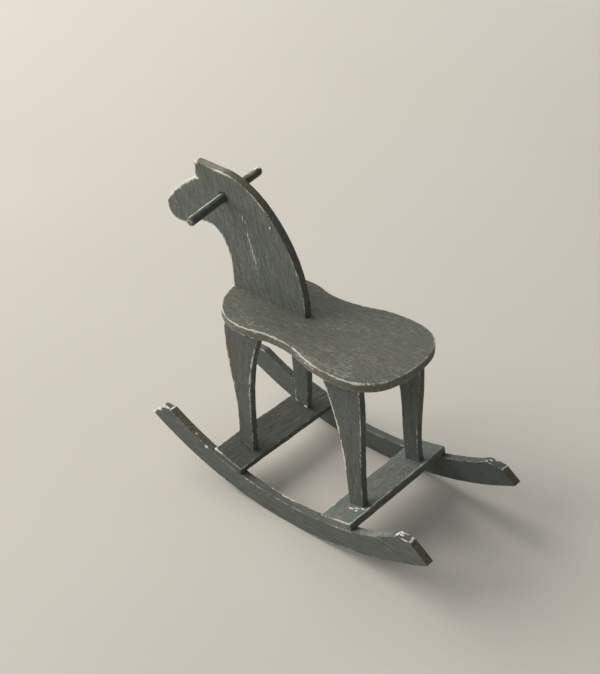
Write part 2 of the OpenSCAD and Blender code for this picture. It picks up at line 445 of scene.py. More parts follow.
def face_mesh(outline, normals, rim, bore):
    """Triangles that fill a face, and its points: first the rim's, then the bore's, then the inner ones."""
    ring = outline - normals * rim[:, None]
    inner = inner_points(outline, normals, rim, bore)
    loops = [ring] if bore is None else [ring, bore]
    points = np.vstack([*loops, inner])
    edges, start = [], 0
    for loop in loops:
        edges += [(start + i, start + (i + 1) % len(loop)) for i in range(len(loop))]
        start += len(loop)
    made = delaunay_2d_cdt([Vector(p) for p in points], edges, [], 0, TINY)
    out = np.array([tuple(v) for v in made[0]])
    source = [ids[0] if ids else -1 for ids in made[3]]
    triangles = np.array([t for t in made[2] if len(t) == 3])
    middles = out[triangles].mean(1)
    wanted = inside(middles, ring)
    if bore is not None:
        wanted &= ~inside(middles, bore)
    return points, [[source[i] for i in t] for t in triangles[wanted]]


class Place:
    """Where a board lies: its middle plane's origin and its two directions in the frame."""

    def __init__(self, origin, along, across):
        self.origin = np.array(origin, float)
        self.u, self.v = np.array(along, float), np.array(across, float)
        self.n = np.cross(self.u, self.v)

    def points(self, flat, w):
        w = np.broadcast_to(w, len(flat))
        return self.origin + flat[:, :1] * self.u + flat[:, 1:] * self.v + w[:, None] * self.n


def upright(y):
    return Place((-MID, y, 0), (1, 0, 0), (0, 0, 1))


def board_rows(outline, normals, rims, thick):
    """The rows of points round a board's edge, from its front face to its back one:
    each row's outline, height, distance from the nearest rim and share of edge in it."""
    half = thick / 2

    def rounded(rim, way, angles):
        return [(outline - normals * (rim * (1 - math.sin(a)))[:, None],
                 way * (half - rim * (1 - math.cos(a))),
                 np.zeros(len(outline)), a / RIM_ANGLES[-1]) for a in angles]

    top, bottom = rims
    strip = []
    for share in np.linspace(0, 1, STRIP_ROWS + 2)[1:-1]:
        w = (half - top) * (1 - share) - (half - bottom) * share
        strip.append((outline, w, half - np.abs(w), 1.0))
    return rounded(top, 1, RIM_ANGLES) + strip + rounded(bottom, -1, RIM_ANGLES[::-1])


def spread(points, spots, base=0.0):
    """A value at each point: base, raised or lowered round each spot (centre, radii, strength)."""
    value = np.full(len(points), float(base))
    for centre, radii, strength in spots:
        away = (points - np.array(centre)) / np.broadcast_to(radii, 3)
        value += strength * np.exp(-((away**2).sum(1)))
    return np.clip(value, 0, 1)


def between(a, b, steps):
    """Evenly spaced points from a to b."""
    a, b = np.array(a, float), np.array(b, float)
    return [tuple(a + (b - a) * t) for t in np.linspace(0, 1, steps)]


def path(points, radius, strength, gap=0.8, **plane):
    """Spots along a line through several points. Given y or z, the points have the other two coordinates."""
    for axis, value in plane.items():
        points = [np.insert(np.array(point, float), "xyz".index(axis), value) for point in points]
    found = []
    for a, b in zip(points, points[1:]):
        steps = max(2, int(math.dist(a, b) / gap))
        found += [(point, radius, strength) for point in between(a, b, steps)]
    return found


@dataclass
class Look:
    """What the paint does on one piece: where rims are worn, streaks are light, wood is scuffed or bare, and
    flecks lie. Some of the light streaks and scuffs are painted light and painted highlights, and some bare
    places painted shade.
    Each is a list of spots (centre, radius, strength) in the frame, in mm."""

    material: bpy.types.Material
    seed: float
    worn: float
    streaks: float
    patchy: float = 0.35
    wave: float = 0.05
    worn_at: tuple = ()
    streaks_and_painted_light_at: tuple = ()
    scuffs_and_highlights_at: tuple = ()
    bare_and_shade_at: tuple = ()
    flecks_at: tuple = ()

    def wear(self, points):
        """How far the rims are worn at each point: in patches, and more at the marked places."""
        patches = self.patchy * waves(points, WEAR_PATCH, self.seed + 20)
        return np.clip(spread(points, self.worn_at, self.worn) + patches, 0, 1)

    def marks(self, points):
        """The strength of each mark at each point, for the paint's shader."""
        patches = 0.3 * waves(points, STREAK_PATCH, self.seed + 30)
        return {
            "worn": self.wear(points),
            "streaks": np.clip(spread(points, self.streaks_and_painted_light_at) + self.streaks + patches, 0, 1),
            "scuffs_and_highlights": spread(points, self.scuffs_and_highlights_at),
            "bare": spread(points, self.bare_and_shade_at),
            "flecks": spread(points, self.flecks_at),
        }


def mesh_object(name, points, faces, attributes, material):
    mesh = bpy.data.meshes.new(name)
    mesh.from_pydata([tuple(p) for p in points * MM], [], faces)
    mesh.validate()
    mesh.polygons.foreach_set("use_smooth", np.ones(len(mesh.polygons), bool))
    for key, values in attributes.items():
        mesh.attributes.new(key, "FLOAT", "POINT").data.foreach_set("value", np.asarray(values, np.float32))
    mesh.materials.append(material)
    piece = bpy.data.objects.new(name, mesh)
    link(piece)
    even = piece.modifiers.new("even_normals", "WEIGHTED_NORMAL")
    even.keep_sharp = True
    return piece


def add(piece, node, slot):
    """Puts the piece in its CAD node's place."""
    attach(piece, "root")
    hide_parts(node)


def hand_cut(outline, look):
    """The outline with its corners sanded and its edge a little wavy, and its outward directions."""
    outline = resampled(softened(outline, CORNER_SAND))
    normals = outward(outline)
    wave = waves(outline, LONG_WAVE, look.seed) + 0.5 * waves(outline, SHORT_WAVE, look.seed + 7)
    return outline + normals * (look.wave * wave)[:, None], normals


def sanded_rim(edge, look):
    """How far a rim is rounded at each point: more where it is worn and chipped."""
    chips = 0.5 + 0.5 * waves(edge, CHIP, look.seed + 3)
    return RIM * (0.7 + 1.6 * look.wear(edge) * chips)


def cut_board(node, slot, outline, place, thick, look, bores=None):
    """A board cut to an outline, with the marks that its paint needs, in its CAD node's place.
    bores are the outlines of one bore on the front and on the back face."""
    outline, normals = hand_cut(outline, look)
    rims = [sanded_rim(place.points(outline, w), look) for w in (thick / 2, -thick / 2)]
    rows = board_rows(outline, normals, rims, thick)
    count = len(outline)
    points = [place.points(flat, w) for flat, w, _, _ in rows]
    rim_away = [away for _, _, away, _ in rows]
    edge_share = [np.full(count, share) for _, _, _, share in rows]
    faces = []
    for r in range(len(rows) - 1):
        for i in range(count):
            j = (i + 1) % count
            faces.append([r * count + i, (r + 1) * count + i, (r + 1) * count + j, r * count + j])
    total = len(rows) * count
    bore_loops = []
    for side, (w, rim) in enumerate(zip((thick / 2, -thick / 2), rims)):
        bore = None if bores is None else bores[side]
        flat, triangles = face_mesh(outline, normals, rim, bore)
        first_row = 0 if side == 0 else (len(rows) - 1) * count
        extra = flat[count:]
        ids = np.r_[np.arange(first_row, first_row + count), np.arange(total, total + len(extra))]
        points.append(place.points(extra, w))
        rim_away.append(np.minimum(rim_distance(extra, outline), FAR_FROM_RIM))
        edge_share.append(np.zeros(len(extra)))
        for t in triangles:
            a, b, c = (int(ids[k]) for k in t)
            up = cross2(flat[t[1]] - flat[t[0]], flat[t[2]] - flat[t[0]]) > 0
            faces.append([a, b, c] if up == (side == 0) else [a, c, b])
        if bore is not None:
            bore_loops.append([int(k) for k in ids[count : count + len(bore)]])
        total += len(extra)
    if bore_loops:
        top, bottom = bore_loops
        for i in range(len(top)):
            j = (i + 1) % len(top)
            faces.append([top[i], top[j], bottom[j], bottom[i]])
    points = np.vstack(points)
    marks = {
        "rim": np.concatenate(rim_away),
        "edge": np.concatenate(edge_share),
        **look.marks(points),
    }
    add(mesh_object(node + "_board", points, faces, marks, look.material), node, slot)


# ---- materials ----


def srgb(red, green, blue):
    """A colour given as it shows, 0 to 255, in the linear values that a shader takes."""
    shares = [c / 255 for c in (red, green, blue)]
    return (*[s / 12.92 if s <= 0.04045 else ((s + 0.055) / 1.055) ** 2.4 for s in shares], 1)


class Shader:
    """Short calls for the nodes of one material."""

    def __init__(self, name):
        self.material = bpy.data.materials.new(name)
        self.material.use_nodes = True
        self.tree = self.material.node_tree
        self.surface = self.tree.nodes["Principled BSDF"]

    def node(self, kind, inputs=(), **settings):
        made = self.tree.nodes.new(kind)
        for key, value in settings.items():
            setattr(made, key, value)
        for key, value in dict(inputs).items():
            self.put(made.inputs[key], value)
        return made

    def put(self, socket, value):
        if isinstance(value, bpy.types.NodeSocket):
            self.tree.links.new(value, socket)
        else:
            socket.default_value = value

    def place(self):
        return self.node("ShaderNodeTexCoord").outputs["Object"]

    def mark(self, name):
        return self.node("ShaderNodeAttribute", attribute_name=name).outputs["Fac"]

    def math(self, operation, a, b=0.0):
        return self.node("ShaderNodeMath", {0: a, 1: b}, operation=operation).outputs[0]

    def ramp(self, value, low, high, to_low=0.0, to_high=1.0):
        """value between low and high, smoothly turned into to_low to to_high."""
        inputs = {"Value": value, "From Min": low, "From Max": high, "To Min": to_low, "To Max": to_high}
        return self.node("ShaderNodeMapRange", inputs, interpolation_type="SMOOTHSTEP").outputs[0]

    def mixed(self, share, a, b):
        made = self.node("ShaderNodeMix", data_type="RGBA")
        self.put(made.inputs[0], share)
        self.put(made.inputs[6], a)
        self.put(made.inputs[7], b)
        return made.outputs[2]

    def weighted(self, base, *parts):
        """base plus each noise's distance from its middle, times its gain, doubled."""
        total = base
        for value, gain in parts:
            swing = self.math("MULTIPLY", self.math("SUBTRACT", value, 0.5), 2 * gain)
            total = self.math("ADD", total, swing)
        return total

    def scaled(self, colour, factor):
        made = self.node("ShaderNodeVectorMath", {0: colour, "Scale": factor}, operation="SCALE")
        return made.outputs[0]

    def distance(self, centre, radii):
        """Each point's distance from centre as a share of the radii, all in the frame, in mm."""
        inputs = {"Vector": self.place(), "Location": np.array(centre) * MM, "Scale": np.array(radii) * MM}
        scaled = self.node("ShaderNodeMapping", inputs, vector_type="TEXTURE")
        return self.node("ShaderNodeVectorMath", {0: scaled.outputs[0]}, operation="LENGTH").outputs["Value"]

    def grain_space(self, turn):
        """Millimetre coordinates turned so that their x runs along the grain."""
        inputs = {"Vector": self.place(), "Rotation": turn, "Scale": (MM,) * 3}
        turned = self.node("ShaderNodeMapping", inputs, vector_type="TEXTURE")
        return turned.outputs[0]

    def stretched(self, space, along, across, shift=(0, 0, 0)):
        scaled = self.node("ShaderNodeMapping",
                           {"Vector": space, "Location": shift, "Scale": (1 / along, 1 / across, 1 / across)})
        return scaled.outputs[0]

    def noise(self, vector, detail=2.0, rough=0.5, scale=1.0):
        inputs = {"Vector": vector, "Scale": scale, "Detail": detail, "Roughness": rough}
        return self.node("ShaderNodeTexNoise", inputs).outputs["Fac"]


CREAM = srgb(215, 210, 194)
PALE_PAINT_AND_LIGHT = srgb(152, 153, 142)
RUBBED_AND_HIGHLIGHT = srgb(148, 148, 136)
BARE_WOOD = srgb(118, 114, 96)
BARE_DARK = srgb(87, 83, 70)
FLECK_AND_HIGHLIGHT = srgb(228, 225, 212)
BACKDROP = srgb(208, 203, 194)
FLOOR_TONES = (srgb(208, 202, 191), srgb(214, 208, 198))
FLOOR_FADE = (0.22, 0.8)


def painted_wood(name, dabs=(), hair_long=3.0):
    """Brushed paint over fine wood grain. dabs are single light marks (centre, radii) in mm, some of them a
    painted highlight.
    """
    turn, paint, other, brush_gain, hair_gain, mottle_gain = PAINTS[name]
    s = Shader(name + "_paint")
    space = s.grain_space(turn)
    # Noises of so many mm along and across the grain
    tone = s.noise(s.stretched(space, 9, 5), detail=3)
    brush = s.noise(s.stretched(space, 6, 0.55, (3, 1, 2)), detail=3, rough=0.55)
    hair = s.noise(s.stretched(space, hair_long, 0.22, (9, 4, 5)), detail=2, rough=0.6)
    mottle = s.noise(s.stretched(space, 0.9, 0.7, (4, 2, 8)), detail=3, rough=0.6)
    fine = s.noise(s.stretched(space, 0.42, 0.2, (2, 8, 3)), detail=2)
    drawn = s.noise(s.stretched(space, 1.5, 0.16, (7, 1, 6)), detail=2, rough=0.55)

    colour = s.mixed(s.ramp(tone, 0.38, 0.62), srgb(*paint), srgb(*other))
    shade = s.weighted(1.0, (brush, brush_gain), (hair, hair_gain), (mottle, mottle_gain), (fine, 0.12))
    colour = s.scaled(colour, shade)

    # Light streaks along the grain: dry-brushed paint, and at some marked places painted light and a painted
    # highlight
    streak_and_painted_light = s.weighted(s.mark("streaks"), (drawn, 1.5), (mottle, 0.6))
    colour = s.mixed(s.ramp(streak_and_painted_light, 0.68, 1.0, 0.0, 0.7), colour, PALE_PAINT_AND_LIGHT)

    # Rims lighter along their edge, partly rubbed thin paint and partly a painted highlight of the light a
    # rounded rim catches, and worn through to pale wood in teeth that follow the grain
    rim, worn = s.mark("rim"), s.mark("worn")
    rubbed_and_highlight = s.weighted(s.math("MULTIPLY", worn, 0.7), (mottle, 0.9), (drawn, 0.5))
    rubbed_and_highlight = s.math("MULTIPLY", s.ramp(rubbed_and_highlight, 0.0, 0.5), s.ramp(rim, 0.3, 0.05))
    colour = s.mixed(s.math("MULTIPLY", rubbed_and_highlight, 0.6), colour, RUBBED_AND_HIGHLIGHT)
    teeth = s.weighted(0.0, (drawn, 0.8), (fine, 0.7))
    gone = s.math("SUBTRACT", s.math("MULTIPLY", worn, 0.95), s.math("MULTIPLY", rim, 1.2))
    lost = s.ramp(s.math("ADD", gone, teeth), 0.34, 0.5)
    scuffs_and_highlights = s.mark("scuffs_and_highlights")
    scuff = s.weighted(scuffs_and_highlights, (fine, 0.7), (drawn, 0.7))
    scuffed = s.math("MULTIPLY", s.ramp(scuff, 0.4, 0.65), s.ramp(scuffs_and_highlights, 0.02, 0.15))
    lost = s.math("MAXIMUM", lost, scuffed)
    colour = s.mixed(s.math("MULTIPLY", lost, 0.9), colour, CREAM)

    # Bare sawn ends, paler where they are scuffed. The same bare colours are painted shade along the rear
    # cross board's rear edge, and make the top of the left rocker's front run darker and browner.
    bare = s.math("ADD", s.math("MULTIPLY", s.mark("bare"), s.mark("edge")), s.weighted(0.0, (fine, 0.6)))
    grainy = s.mixed(s.ramp(hair, 0.4, 0.62), BARE_DARK, BARE_WOOD)
    grainy = s.mixed(s.ramp(scuffs_and_highlights, 0.0, 0.6, 0.0, 0.4), grainy, CREAM)
    colour = s.mixed(s.ramp(bare, 0.42, 0.6), colour, grainy)

    # Flecks of dried white filler, and the dabs: single light marks, some of them a painted highlight
    crumbs = s.noise(s.stretched(space, 0.4, 0.3, (5, 5, 9)), detail=3, rough=0.7)
    flecks = s.mark("flecks")
    fleck_and_highlight = s.weighted(flecks, (crumbs, 1.2))
    fleck_and_highlight = s.math("MULTIPLY", s.ramp(fleck_and_highlight, 0.55, 0.75), s.ramp(flecks, 0.02, 0.15))
    ragged = s.weighted(0.0, (fine, 0.5), (crumbs, 0.4))
    for centre, radii in dabs:
        away = s.math("ADD", s.distance(centre, radii), ragged)
        fleck_and_highlight = s.math("MAXIMUM", fleck_and_highlight, s.ramp(away, 1.1, 0.75))
    colour = s.mixed(fleck_and_highlight, colour, FLECK_AND_HIGHLIGHT)

    relief = s.weighted(0.0, (brush, 0.7), (hair, 0.6), (mottle, 0.3))
    relief = s.math("SUBTRACT", relief, s.math("MULTIPLY", lost, 0.2))
    bump = s.node("ShaderNodeBump", {"Strength": 0.8, "Distance": 0.00006, "Height": relief})
    s.put(s.surface.inputs["Base Color"], colour)
    s.put(s.surface.inputs["Roughness"], s.ramp(brush, 0.3, 0.7, 0.86, 0.68))
    s.put(s.surface.inputs["Normal"], bump.outputs[0])
    s.put(s.surface.inputs["Specular IOR Level"], 0.2)
    return s.material


def seen_rays(tree):
    """1 for the rays that show a thing to the camera, straight or by reflection, and 0 for the others."""
    rays = tree.nodes.new("ShaderNodeLightPath")
    total = rays.outputs["Is Camera Ray"]
    for name in ("Is Glossy Ray", "Is Transmission Ray"):
        add = tree.nodes.new("ShaderNodeMath")
        tree.links.new(total, add.inputs[0])
        tree.links.new(rays.outputs[name], add.inputs[1])
        total = add.outputs[0]
    return total


def floor_finish():
    """Matt floor paint that fades into the backdrop far from the horse."""
    s = Shader("floor_paint")
    place = s.place()
    tone = s.noise(place, detail=2, scale=9)
    s.put(s.surface.inputs["Base Color"], s.mixed(tone, *FLOOR_TONES))
    s.put(s.surface.inputs["Roughness"], 0.95)
    s.put(s.surface.inputs["Specular IOR Level"], 0.1)
    away = s.node("ShaderNodeVectorMath", {0: place}, operation="LENGTH").outputs["Value"]
    backdrop = s.node("ShaderNodeEmission", {"Color": BACKDROP})
    faded = s.math("MULTIPLY", s.ramp(away, *FLOOR_FADE), seen_rays(s.tree))
    mix = s.node("ShaderNodeMixShader", {0: faded})
    s.tree.links.new(s.surface.outputs[0], mix.inputs[1])
    s.tree.links.new(backdrop.outputs[0], mix.inputs[2])
    s.tree.links.new(mix.outputs[0], s.tree.nodes["Material Output"].inputs[0])
    return s.material


ALONG_X = (0, 0, 0)
ALONG_Y = (0, 0, math.radians(90))
ALONG_Z = (0, math.radians(-90), 0)
NECK_LEAN = (0, math.radians(-77), 0)

# Each paint: the way of its grain, its two tones, and the gains of its brush marks, hairs and mottling
PAINTS = {
    "left_rocker": (ALONG_X, (96, 98, 92), (92, 97, 92), 0.2, 0.45, 0.2),
    "right_rocker": (ALONG_X, (94, 97, 91), (90, 96, 91), 0.2, 0.4, 0.2),
    "front_board": (ALONG_Y, (92, 92, 84), (86, 89, 82), 0.3, 0.65, 0.2),
    "rear_board": (ALONG_Y, (103, 112, 107), (113, 115, 106), 0.2, 0.4, 0.45),
    "left_leg": (ALONG_Z, (93, 94, 88), (90, 95, 90), 0.22, 0.6, 0.25),
    # The right legs' first tone is lighter and bluer than the left legs': painted light, standing in for the
    # bluish fill in their shade
    "right_leg": (ALONG_Z, (95, 100, 95), (90, 95, 90), 0.22, 0.6, 0.25),
    "seat": (ALONG_X, (105, 105, 95), (102, 104, 95), 0.12, 0.55, 0.2),
    "head": (NECK_LEAN, (101, 104, 97), (98, 103, 98), 0.18, 0.75, 0.22),
    "handle": (ALONG_Y, (92, 97, 92), (84, 88, 83), 0.1, 0.2, 0.15),
}


# ---- the pieces ----

# Where the marked faces and edges lie across the horse
ROCKER_OUTER = TRACK / 2
ROCKER_INNER = ROCKER_OUTER - ROCKER_T
ROCKER_MIDDLE = ROCKER_OUTER - ROCKER_T / 2
LEG_OUTER = LEG_SPAN / 2
LEG_INNER = LEG_OUTER - LEG_T
HEAD_NEAR = HEAD_Y + HEAD_T / 2


def left_rocker_look(paint):
    near, inner, middle = ROCKER_OUTER, ROCKER_INNER, ROCKER_MIDDLE
    return Look(
        paint, worn=0.18, patchy=0.2, streaks=0.0, seed=1.0,
        worn_at=path([(4.7, 5.0), (0.3, 4.7)], 0.6, 0.05, y=near)
        + path([(0.9, 4.7), (-2.3, 4.7), (-5.5, 4.8)], 0.7, 0.6, y=inner)
        + path([(-14.9, 1.1), (-20.9, 2.2)], 0.7, 0.35, y=near)
        + path([(30.1, 12.3), (33.1, 9.7)], 0.8, 0.5, y=near),
        scuffs_and_highlights_at=[((30.2, middle, 12.3), (0.4, 1.2, 0.4), 0.4)],
        streaks_and_painted_light_at=path([(2, 4.5), (-8, 4.7)], (1.2, 0.4, 0.4), 0.12, y=near)
        + path([(-21, 7.6), (-26, 9.0), (-30, 11.2)], (1.5, 1.2, 0.6), 0.5, y=middle)
        # The broad spot at the rear of the outer face is painted light: it lightens the rear, where the
        # floor's bounce is weaker
        + [((-28, near, 7.5), (7, 1, 3), 0.15), ((-29, middle, 10.7), (2.2, 1.2, 1), 0.35)],
        bare_and_shade_at=path([(-34.8, 11.7), (-37.6, 9.6)], (1.3, 2.5, 1.3), 1.0, y=middle)
        # The bare colours make the top strip of the front run darker and browner
        + path([(18.5, 8.2), (21, 9.3), (24, 10.7), (27, 12)], (0.8, 2.0, 0.6), 0.6, y=middle),
    )


def right_rocker_look(paint):
    inner, middle = -ROCKER_INNER, -ROCKER_MIDDLE
    return Look(
        paint, worn=0.15, streaks=0.0, seed=2.0,
        worn_at=[((27.5, inner, 12.2), 0.7, 0.3), ((30.1, inner, 12.3), 0.7, 0.3)],
        scuffs_and_highlights_at=[((30.2, middle, 12.3), (0.4, 1.2, 0.4), 0.4)],
        bare_and_shade_at=path([(-35.8, 11.1), (-37.8, 9.5)], (1.2, 2.5, 1.2), 1.0, y=middle),
    )


# Single light marks: centre and radii
LEFT_ROCKER_DABS = [
    # Round the flat of the front tip
    ((32.8, 15, 9.9), (0.5, 0.4, 0.5)), ((31.2, 15, 11.4), (0.9, 0.25, 0.7)),
    ((30, 14.6, 12.3), (0.3, 0.5, 0.3)), ((28.9, 14.7, 12.3), (0.8, 0.25, 0.3)),
    ((27.8, 14.1, 12.3), (0.25, 0.9, 0.3)), ((28.6, 13.2, 12.3), (0.7, 0.15, 0.3)),
    # On the front run, and where the board meets it
    ((20.9, 14.4, 9.2), (0.3, 0.2, 0.3)), ((17.6, 14.95, 7.8), (0.45, 0.2, 0.35)),
    # Along the inner rim of the hollow
    ((-2.6, 13.25, 4.65), (1.1, 0.35, 0.3)), ((-4.3, 13.25, 4.7), (1.1, 0.35, 0.3)),
    ((0.8, 13.25, 4.75), (0.4, 0.2, 0.2)),
    # Round the flat of the rear tip
    ((-31, 14.2, 12), (0.5, 0.6, 0.4)), ((-31.6, 13.5, 12.1), (0.6, 0.35, 0.3)),
    ((-32.4, 13.25, 12.15), (0.6, 0.25, 0.3)), ((-31.9, 14.1, 12.15), (0.45, 0.35, 0.3)),
    ((-34.15, 14.3, 12.15), (0.3, 0.6, 0.3)), ((-34, 13.5, 12.15), (0.3, 0.45, 0.3)),
    ((-33.1, 14.9, 12.1), (0.9, 0.12, 0.12)),
]
RIGHT_ROCKER_DABS = [
    ((-31.3, -13.5, 11.5), (0.3, 0.3, 0.3)), ((-32, -14.2, 11.5), (0.45, 0.2, 0.3)),
    ((-32.9, -14.8, 11.5), (0.4, 0.15, 0.3)), ((-35.1, -13.6, 11.5), (0.2, 0.6, 0.4)),
    ((-35.2, -14.5, 11.5), (0.2, 0.6, 0.4)),
]


def make_rockers():
    left = left_rocker_look(painted_wood("left_rocker", LEFT_ROCKER_DABS))
    right = right_rocker_look(painted_wood("right_rocker", RIGHT_ROCKER_DABS))
    for node, y, flat, look in (("left_rocker", ROCKER_MIDDLE, LEFT_FLAT_Z, left),
                                ("right_rocker", -ROCKER_MIDDLE, RIGHT_FLAT_Z, right)):
        cut_board(node, "rocker", rocker_outline(flat), upright(y), ROCKER_T, look)


def cross_board(node, x, width, way, look):
    tilt = way * board_tilt(x)
    middle = board_point(x, 0, BOARD_T / 2)
    place = Place((way * middle[0] - MID, 0, middle[1]), (math.cos(tilt), 0, math.sin(tilt)), (0, 1, 0))
    cut_board(node, "cross_board", rectangle(width, TRACK), place, BOARD_T, look)


def across_at(point, *ys):
    """Points across the horse at one place in side view."""
    return [(point[0], y, point[1]) for y in ys]


def front_board_look(paint):
    outer, inner = (15.06, 8.75), (7.76, 7.0)
    return Look(
        paint, worn=0.2, streaks=0.2, wave=0.09, seed=3.0,
        worn_at=path([(14.9, 15, 8.7), (13.4, 15, 8.35)], 0.6, 0.5)
        + path(across_at(outer, 14, 8), 0.6, 0.25)
        + path(across_at(inner, 14, 9), 0.6, 0.3),
        bare_and_shade_at=[((11.4, 15, 6.9), (4.5, 0.6, 1.6), 0.4), ((11.4, -15, 6.9), (4.5, 0.6, 1.6), 0.5)],
    )


def rear_board_look(paint):
    outer, inner = (-20.43, 8.57), (-13.2, 6.93)
    return Look(
        paint, worn=0.22, streaks=0.3, wave=0.08, seed=4.0,
        worn_at=path(across_at(outer, 14.5, 7.4), 0.6, 0.4)
        + path(across_at(outer, 7.4, -9), 0.6, 0.3)
        + [((outer[0], -7.2, outer[1]), 0.9, 0.3)]
        + path(across_at(inner, 14.4, 10.2), 0.5, 0.45)
        + path([(-13.4, 15, 7), (-20.2, 15, 8.5)], 0.5, 0.2),
        scuffs_and_highlights_at=[((outer[0], 9.8, outer[1]), (0.5, 1.2, 0.5), 0.3)],
        bare_and_shade_at=[((-17, 15, 7.2), (4.5, 0.6, 1.8), 0.3), ((-17, -15, 7.2), (4.5, 0.6, 1.8), 0.5),
                 # All along the rear edge, which faces away from the light, the bare colours are painted
                 # shade
                 ((-20.8, 0, 7.6), (1, 20, 2), 0.6)],
    )


FRONT_BOARD_DABS = [((14.7, 15, 8.6), (0.5, 0.5, 0.3)), ((13.6, 15, 8.4), (0.9, 0.15, 0.2))]
REAR_BOARD_DABS = [((-17.2, 10.7, 7.8), (0.7, 0.25, 0.3)), ((-18.2, 10.2, 8.05), (0.7, 0.2, 0.3)),
                   ((-19.4, 9.9, 8.3), (0.5, 0.2, 0.3)), ((-18.6, 10.9, 8.1), (0.35, 0.25, 0.3)),
                   ((-20.3, 9.4, 8.5), (0.2, 0.8, 0.2)), ((-20.3, -7.2, 8.5), (0.2, 0.5, 0.2))]


def make_cross_boards():
    front = front_board_look(painted_wood("front_board", FRONT_BOARD_DABS))
    rear = rear_board_look(painted_wood("rear_board", REAR_BOARD_DABS))
    cross_board("front_cross_board", FRONT_BOARD_X, FRONT_BOARD_W, 1, front)
    cross_board("rear_cross_board", REAR_BOARD_X, REAR_BOARD_W, -1, rear)


# Each leg: 1 for front or -1 for rear, 1 for left or -1 for right, and its outer and inner edge's shape
LEGS = {
    "front_left_leg": (1, 1, (1.9, -0.3, 4.5, 3.4), (-2.2, -2.4, -1.4, -5.7)),
    "front_right_leg": (1, -1, (1.7, 1.7, 3.5, 3.4), (-1.6, -2.2, -1.6, -5.6)),
    "rear_left_leg": (-1, 1, (2.1, 0.9, 2.0, 0.9), (-1.3, -2.4, -3.8, -8.6)),
    "rear_right_leg": (-1, -1, (2.2, 0.2, 3.1, 0.8), (-1.3, -3.2, -0.8, -8.0)),
}
RIGHT_LEG_DABS = [((x, -LEG_INNER, z), (r, 0.3, r))
                  for x, z, r in ((14.3, 9.3, 0.3), (13.3, 8.5, 0.3), (10.7, 8, 0.35))]


def leg_looks(left_paint, right_paint):
    """Each leg's wear: on the left legs the outer face's rims, on the right ones the inner face's."""
    left, right = LEG_OUTER, -LEG_INNER
    return {
        "front_left_leg": Look(
            left_paint, worn=0.22, streaks=0.12, seed=5.0,
            worn_at=path([(15.2, 34), (14.4, 27.8), (14, 22.6), (13.6, 12)], 0.7, 0.4, y=left)
            + path([(7.3, 32.5), (8.6, 28.9), (9.5, 24.7)], 0.6, 0.35, y=left)
            + path([(9.6, 22), (9.6, 10)], 0.6, 0.15, y=left) + [((9.4, left, 25), 0.8, 0.3)],
            flecks_at=path([(13.5, 8.8), (11.8, 8.3), (10.1, 8.2)], (0.5, 0.4, 0.3), 0.35, y=left)),
        "front_right_leg": Look(
            right_paint, worn=0.22, streaks=0.1, seed=6.0,
            worn_at=path([(14.8, 33), (14, 24)], 0.6, 0.25, y=right)
            + path([(14.2, 19.5), (14.2, 12)], 0.7, -0.3, y=right)
            + path([(9.6, 23), (9.6, 10)], 0.7, -0.3, y=right),
            flecks_at=[((14.3, right, 9.6), 0.5, 0.5), ((13.1, right, 8.6), 0.5, 0.5),
                       ((10.8, right, 8.2), 0.6, 0.55)]),
        "rear_left_leg": Look(
            left_paint, worn=0.22, streaks=0.12, seed=7.0,
            worn_at=path([(-9.8, 33.9), (-11.7, 30.2), (-13.3, 25.2), (-14.6, 18.8),
                                 (-15.5, 14.4)], 0.6, 0.55, y=left)
            + path([(-18.5, 30.1), (-18.5, 22.4)], 0.6, 0.2, y=left),
            flecks_at=[((-16.6, left, 9.4), (1.2, 0.5, 0.3), 0.45)]),
        "rear_right_leg": Look(
            right_paint, worn=0.22, streaks=0.1, seed=8.0,
            worn_at=path([(-9.7, 34), (-13, 26)], 0.6, 0.35, y=right),
            flecks_at=[((-16.8, right, 9.3), (1.2, 0.5, 0.3), 0.4)]),
    }


def make_legs():
    looks = leg_looks(painted_wood("left_leg"), painted_wood("right_leg", RIGHT_LEG_DABS))
    for node, (way, side, outer, inner) in LEGS.items():
        x = FRONT_BOARD_X if way > 0 else REAR_BOARD_X
        place = upright(side * (LEG_SPAN / 2 - LEG_T / 2))
        cut_board(node, "leg", leg_outline(x, outer, inner, way), place, LEG_T, looks[node])


def seat_look(paint):
    top, side = SEAT_Z, SEAT_Z - 0.6
    return Look(
        paint, worn=0.3, streaks=0.32, seed=11.0,
        worn_at=path([(21.2, 2), (19, 6.3), (16.5, 8.6)], 0.7, 0.4, z=top)
        + path([(15.2, 9.4), (10.9, 10.5), (6.7, 9.7), (2.1, 9.1)], 0.7, 0.15, z=top)
        + path([(-2.8, 9.9), (-8.8, 12)], 0.7, 0.35, z=top)
        + path([(-13.2, 12), (-18.7, 11), (-22.5, 6.9)], 0.7, 0.35, z=top)
        + path([(-23.5, 2.5), (-23.9, -3.5)], 0.7, 0.2, z=top) + [((-21.9, -8.5, top), 0.9, 0.4)],
        scuffs_and_highlights_at=path([(-2.8, 9.9), (-8.8, 12)], (0.8, 0.8, 0.6), 0.35, z=side)
        + [((-18.7, 11, top), 0.9, 0.3), ((-22.5, 6.9, top), 0.9, 0.3), ((-8.8, 11.8, top), 0.7, 0.3)],
        streaks_and_painted_light_at=[((x, y, top), (2, 1, 1), strength) for x, y, strength in (
            (-2.3, 6.0, 0.3), (-7.6, 5.9, 0.25), (-12.7, 2.3, 0.15), (-17.2, 3.6, 0.2), (-13.6, 7.7, 0.25),
            (1.4, 2.9, 0.25), (7.1, 5.2, 0.25))]
        + path([(-1, 8.7), (-8, 10.3), (-17, 10.2)], (1, 1.2, 1), 0.27, z=top)
        + path([(17, 5), (9, 8.3), (2, 7.6)], (1, 1.2, 1), 0.15, z=top),
    )


